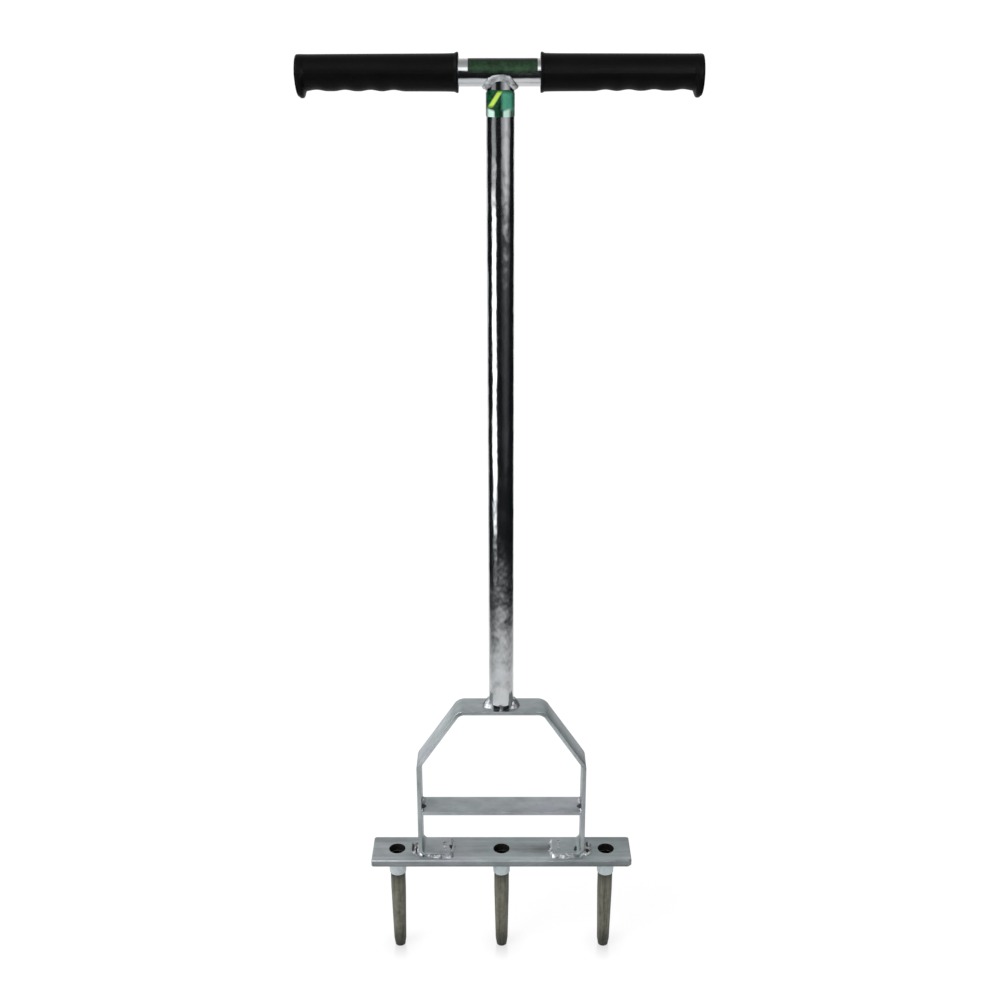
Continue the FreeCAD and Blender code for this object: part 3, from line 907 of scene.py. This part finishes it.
# ---- grips ----
grip_scallops = (87 * MM, 106 * MM, 127 * MM, 150.5 * MM)
grip_scallop_half_width = 9.6 * MM
grip_scallop_depth = 1.15 * MM
grip_mould_line = 0.16 * MM
grip_sides = 144
grip_push = {"left": 0.8 * MM, "right": -0.5 * MM}
grip_lean = {"left": 0.045, "right": 0.015}


def grip_radius(x, angle, inner, outer):
    """The grip's radius at a distance from the shaft and an angle from straight down."""
    share = (x - inner) / (outer - inner)
    radius = (15.0 - 0.5 * share) * MM
    radius += 0.7 * MM * exp(-(((x - inner - 1.3 * MM) / (1.25 * MM)) ** 4))
    radius += 0.6 * MM * exp(-(x - inner) / (4 * MM))
    under = ease(1.35 - abs(angle) / radians(62))
    for place in grip_scallops:
        nearness = (x - place) / grip_scallop_half_width
        if abs(nearness) < 1:
            radius -= grip_scallop_depth * cos(nearness * pi / 2) ** 2 * under
    swell = exp(-(((x - (outer - 3.6 * MM)) / (3.1 * MM)) ** 4))
    low_side = 0.5 + 0.5 * cos(angle)
    radius += swell * (0.1 + 5.5 * low_side ** 2.2) * MM
    radius += grip_mould_line * exp(-((sin(angle - pi / 2) / 0.03) ** 2))
    return radius


def make_grips(material):
    """Rubber sleeves with finger scallops and a hooked end flange, pushed on unevenly."""
    end_round = 1.7 * MM
    for name, side in SIDES.items():
        low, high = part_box(name + "_grip")
        near, far = (low.x, high.x) if side > 0 else (-high.x, -low.x)
        far -= 0.6 * MM
        push = grip_push[name]

        def around(angle, x, radius):
            turn = angle - pi
            return Vector((side * x, radius * sin(turn), handle_height - radius * cos(turn)))

        def outside(angle, x, shrink):
            turn = angle - pi
            radius = grip_radius(min(x, far - 1.5 * MM), turn, near, far) * shrink
            lower = max(0.0, cos(turn)) * radius
            lean = grip_lean[name] * lower * ease((x - far + 12 * MM) / (9 * MM))
            return around(angle, x + push - lean, radius)

        sections = [(x, 1.0) for x in steps_between(near, far - end_round, 201)]
        for n in range(1, 9):
            turn = radians(90 * n / 8)
            sections.append((far - end_round + end_round * sin(turn), 1 - 0.11 * (1 - cos(turn))))
        sections += [(far - 0.15 * MM, 0.72), (far - 0.3 * MM, 0.5), (far - 0.35 * MM, 0.2)]
        bore = [(far - 4.5 * MM + push, 2 * MM), (far - 4.5 * MM + push, handle_radius),
                (near + 0.8 * MM + push, handle_radius), (near + push, handle_radius + 0.9 * MM)]
        rings = rings_of(bore, grip_sides, around) + rings_of(sections, grip_sides, outside)
        show(loft(name + "_grip_sleeve", rings, crease=60), "grip_rubber", material,
             name + "_grip")


# ---- labels ----
def make_wrap(name, tube_radius, length, first, last, trim, to_place):
    """A thin film round a tube with rounded corners, trimmed by trim(angle) at its start."""
    thickness = 0.16 * MM
    across, along = 60, 40
    corner = 2.2 * MM
    rings = []
    width = tube_radius * radians(last - first)
    for radius in (tube_radius + 0.02 * MM, tube_radius + thickness):
        for step in range(along + 1):
            rings.append([])
            for n in range(across + 1):
                aside = width * n / across
                edge = min(aside, width - aside)
                inset = corner - sqrt(max(0, corner ** 2 - (corner - min(edge, corner)) ** 2))
                angle = radians(first) + aside / tube_radius
                start = max(inset, trim(angle))
                run = start + (length - inset - start) * step / along
                rings[-1].append(to_place(radius, angle, run))
    row = across + 1
    layer = row * (along + 1)
    faces = []
    for step in range(along):
        for n in range(across):
            a = step * row + n
            faces.append((a, a + 1, a + row + 1, a + row))
            faces.append(tuple(layer + v for v in (a, a + row, a + row + 1, a + 1)))
    rim = (list(range(row)) + [k * row + across for k in range(1, along + 1)]
           + [along * row + n for n in range(across - 1, -1, -1)]
           + [k * row for k in range(along - 1, 0, -1)])
    for first_v, second_v in zip(rim, rim[1:] + rim[:1]):
        faces.append((first_v, second_v, layer + second_v, layer + first_v))
    return add_object(name, new_mesh(name, [p for ring in rings for p in ring], faces), 40)


def make_labels():
    """The two printed films: one over the handle tube, one round the top of the shaft."""
    low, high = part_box("handle_label")

    def on_handle(radius, angle, run):
        return Vector((low.x + run, -radius * cos(angle), handle_height + radius * sin(angle)))

    film = make_wrap("handle_label_film", handle_radius, high.x - low.x, 2, 150,
                     lambda angle: 0, on_handle)
    show(film, "label_print", handle_label_material(), "handle_label")
    low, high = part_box("shaft_label")

    def on_shaft(radius, angle, run):
        return Vector((radius * sin(angle), -radius * cos(angle), high.z - run))

    def under_weld(angle):
        """The weld's bead comes lowest at the shaft's two sides."""
        return 2.8 * MM * ease((abs(angle) - radians(35)) / radians(45))

    film = make_wrap("shaft_label_film", shaft_radius, high.z - low.z, -96, 96, under_weld,
                     on_shaft)
    show(film, "label_print", shaft_label_material(low.z, high.z), "shaft_label")


# ---- stage ----
def stage_mesh(name, points, faces, material):
    thing = put(name, new_mesh(name, points, faces))
    thing.data.materials.append(material)
    return thing


def only_in_reflections(thing):
    for ray in ("camera", "diffuse", "shadow", "transmission", "volume_scatter"):
        setattr(thing, "visible_" + ray, False)


def make_floor():
    """A white table: the camera sees it evenly lit, with a faint gloss round each tine."""
    s = Surface("pale_floor")
    clouds = s.noise(1.5, 2, 0.5)
    paint = s.add("ShaderNodeBsdfDiffuse", {"Color": s.ramp(clouds, (0.2, 0.88), (0.8, 0.92))})
    glow = s.add("ShaderNodeEmission", {"Strength": 0.86})
    dim = s.add("ShaderNodeBsdfDiffuse", {"Color": grey(0.2)})
    lit = s.add("ShaderNodeAddShader", {0: glow.outputs[0], 1: dim.outputs[0]})
    gloss = s.add("ShaderNodeBsdfGlossy", {"Color": grey(1.0), "Roughness": 0.2})
    reach = 10
    for name in TINES:
        low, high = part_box("tine_" + name)
        tip = ((low.x + high.x) / 2, 0, 0)
        reach = s.math("MINIMUM", reach, s.measure("DISTANCE", s.place, tip))
    table = s.blend(s.ramp(s.times(reach, 10), (0.06, 0.26), (0.30, 0.0)), lit, gloss)
    s.end_in(s.blend(s.camera_ray(), paint, table))
    size = 60
    corners = [(-size, -size, 0), (size, -size, 0), (size, size, 0), (-size, size, 0)]
    stage_mesh("floor", corners, [(0, 1, 2, 3)], s.material)


def glow_through(s, share, strength, colour):
    """Glow by a share from 0 to 1, and let what is behind show through for the rest."""
    clear = s.add("ShaderNodeBsdfTransparent")
    glow = s.add("ShaderNodeEmission", {"Color": colour, "Strength": strength})
    return s.end_in(s.blend(share, clear, glow))


def make_dark_surround():
    """The unlit studio beyond the table, which only reflections see, open at the back."""
    s = Surface("dark_surround")
    distance = s.measure("LENGTH", s.stretched((1, 1, 0)))
    sideways = s.math("DIVIDE", s.parts["X"], distance)
    nearer = s.times(s.times(sideways, sideways), 0.12)
    beyond = s.ramp(s.plus(distance, nearer), (0.60, 0.0), (0.75, 0.40), (0.90, 0.85), (1.0, 1.0))
    backward = s.minus(s.math("DIVIDE", s.parts["Y"], distance), s.times(sideways, 0.1))
    around = s.ramp(backward, (0.66, 1.0), (0.84, 0.0))
    glow_through(s, s.times(beyond, around), 0.008, (0.70, 0.86, 1.0, 1))
    sides = 64
    radius, height = 8, 3.4
    points, faces = [(0, 0, 0.001)], []
    for n in range(sides):
        angle = tau * n / sides
        points += [polar(radius, angle, 0.001), polar(radius, angle, height)]
    for n in range(sides):
        here, there = 1 + 2 * n, 1 + 2 * ((n + 1) % sides)
        faces += [(0, here, there), (here, there, there + 1, here + 1)]
    only_in_reflections(stage_mesh("dark_surround", points, faces, s.material))


def make_card(name, azimuth, distance, base, width, edge, strength, *levels):
    """A glowing panel, a metre tall from its base, facing the tool at an angle from the
    user's side. Its levels are (metres above the base, share of the strength), and beyond
    the edge share of its half width it fades out."""
    away = Vector((sin(radians(azimuth)), -cos(radians(azimuth)), 0))
    across = Vector((-away.y, away.x, 0))
    s = Surface(name + "_glow")
    from_middle = s.math("ABSOLUTE", s.measure("DOT_PRODUCT", s.place, across / (width / 2)))
    soft = s.ramp(from_middle, (edge, 1.0), (1.0, 0.0))
    level = s.ramp(s.minus(s.parts["Z"], base), *levels)
    glow_through(s, s.times(level, soft), strength, grey(1.0))
    corner = across * (width / 2)
    middle = away * distance + Z * base
    points = [middle - corner, middle + corner, middle + corner + Z, middle - corner + Z]
    only_in_reflections(stage_mesh(name, points, [(0, 1, 2, 3)], s.material))


def make_world():
    """A pale studio, dimmer overhead and on the right, but plain white to the camera."""
    world = bpy.data.worlds.new("studio")
    world.use_nodes = True
    bpy.context.scene.world = world
    s = Nodes(world.node_tree, "Generated")
    studio = s.shaded(
        s.ramp(s.parts["Z"], (0.0, 0.90), (0.25, 0.85), (0.55, 0.74), (0.80, 0.50), (1.0, 0.35)),
        s.ramp(s.parts["X"], (0.0, 1.0), (0.45, 0.80), (1.0, 0.62)))
    background = s.tree.nodes["Background"]
    s.set(background.inputs["Strength"], 1.1)
    s.set(background.inputs["Color"], s.mix(s.camera_ray(), studio, grey(1.0)))


def make_key_light():
    """A broad, soft key from above the user's left shoulder."""
    light = bpy.data.lights.new("key", "SUN")
    light.energy = 1.5
    light.angle = radians(40)
    towards_light = Vector((-1.1, -0.7, 1.1))
    put("key", light).rotation_euler = towards_light.to_track_quat("Z", "Y").to_euler()


def make_camera():
    """A camera a little above the handle's height, tilted down at the tool."""
    data = bpy.data.cameras.new("camera")
    data.sensor_width = 36
    data.lens = 47.9
    camera = put("camera", data)
    camera.location = (0.0019, -1.1446, 0.9467)
    camera.rotation_euler = (radians(68.8), radians(0.1), radians(0.1))
    bpy.context.scene.camera = camera


# ---- the whole picture ----
zinc = zinc_material("zinc_strap", (0.3, 1, 0.3), 1.43, 0.14, is_strap=True)
bar_zinc = zinc_material("zinc_bar", (0.07, 1, 1), 1.36, 0.30, is_bar=True)
collar_zinc = zinc_material("zinc_collar", (1, 1, 0.3), 1.5)
weld = weld_material("zinc_weld", 0.16, 0.86, 0.75)
# The tee's bead uses a lighter, less metallic copy of the weld metal: painted highlight for the
# bright reflections it shows.
handle_bead = weld_material("handle_bead", 0.20, 0.86, 0.55)
make_handle_tube(chrome_material("chromed_handle", "x"))
painted_shade_steel = painted_shade_steel_material()
make_shaft_tube(chrome_material("chromed_shaft", "z"), painted_shade_steel)
make_yoke(zinc)
make_foot_bar(zinc)
make_tine_bar(bar_zinc, painted_shade_steel)
make_tines(tine_material(), collar_zinc)
make_handle_weld(handle_bead)
stain_and_shadow = weld_stain_and_shadow_material()
make_shaft_welds(weld, stain_and_shadow)
make_foot_bar_welds(weld, stain_and_shadow)
make_foot_welds(weld)
make_weld_dark_lumps(stain_and_shadow)
make_socket_welds(weld)
make_grips(rubber_material())
make_labels()

make_floor()
make_dark_surround()
make_card("card_left", -55, 1.05, 0.0, 0.85, 0.6, 2.2, (0.0, 0.0), (0.03, 0.2), (0.13, 1.0),
          (0.57, 1.0), (0.62, 0.33), (0.68, 0.16), (0.95, 0.12), (1.0, 0.0))
make_card("card_right", 45, 1.2, 0.0, 2.2, 0.0, 0.9, (0.05, 0.0), (0.15, 0.06), (0.52, 0.08),
          (0.60, 0.80), (0.68, 1.0), (0.74, 0.8), (0.92, 0.6), (1.0, 0.0))
make_card("card_front", 0, 1.2, 1.2, 2.6, 0.3, 1.5, (0.05, 0.0), (0.50, 1.0), (0.85, 1.0),
          (1.0, 0.0))
make_card("card_glint", 23, 1.2, 0.70, 0.34, 0.3, 30.0, (0.36, 0.0), (0.46, 1.0), (0.58, 1.0),
          (0.68, 0.0))
make_world()
make_key_light()
make_camera()
bpy.context.scene.view_settings.view_transform = "Standard"
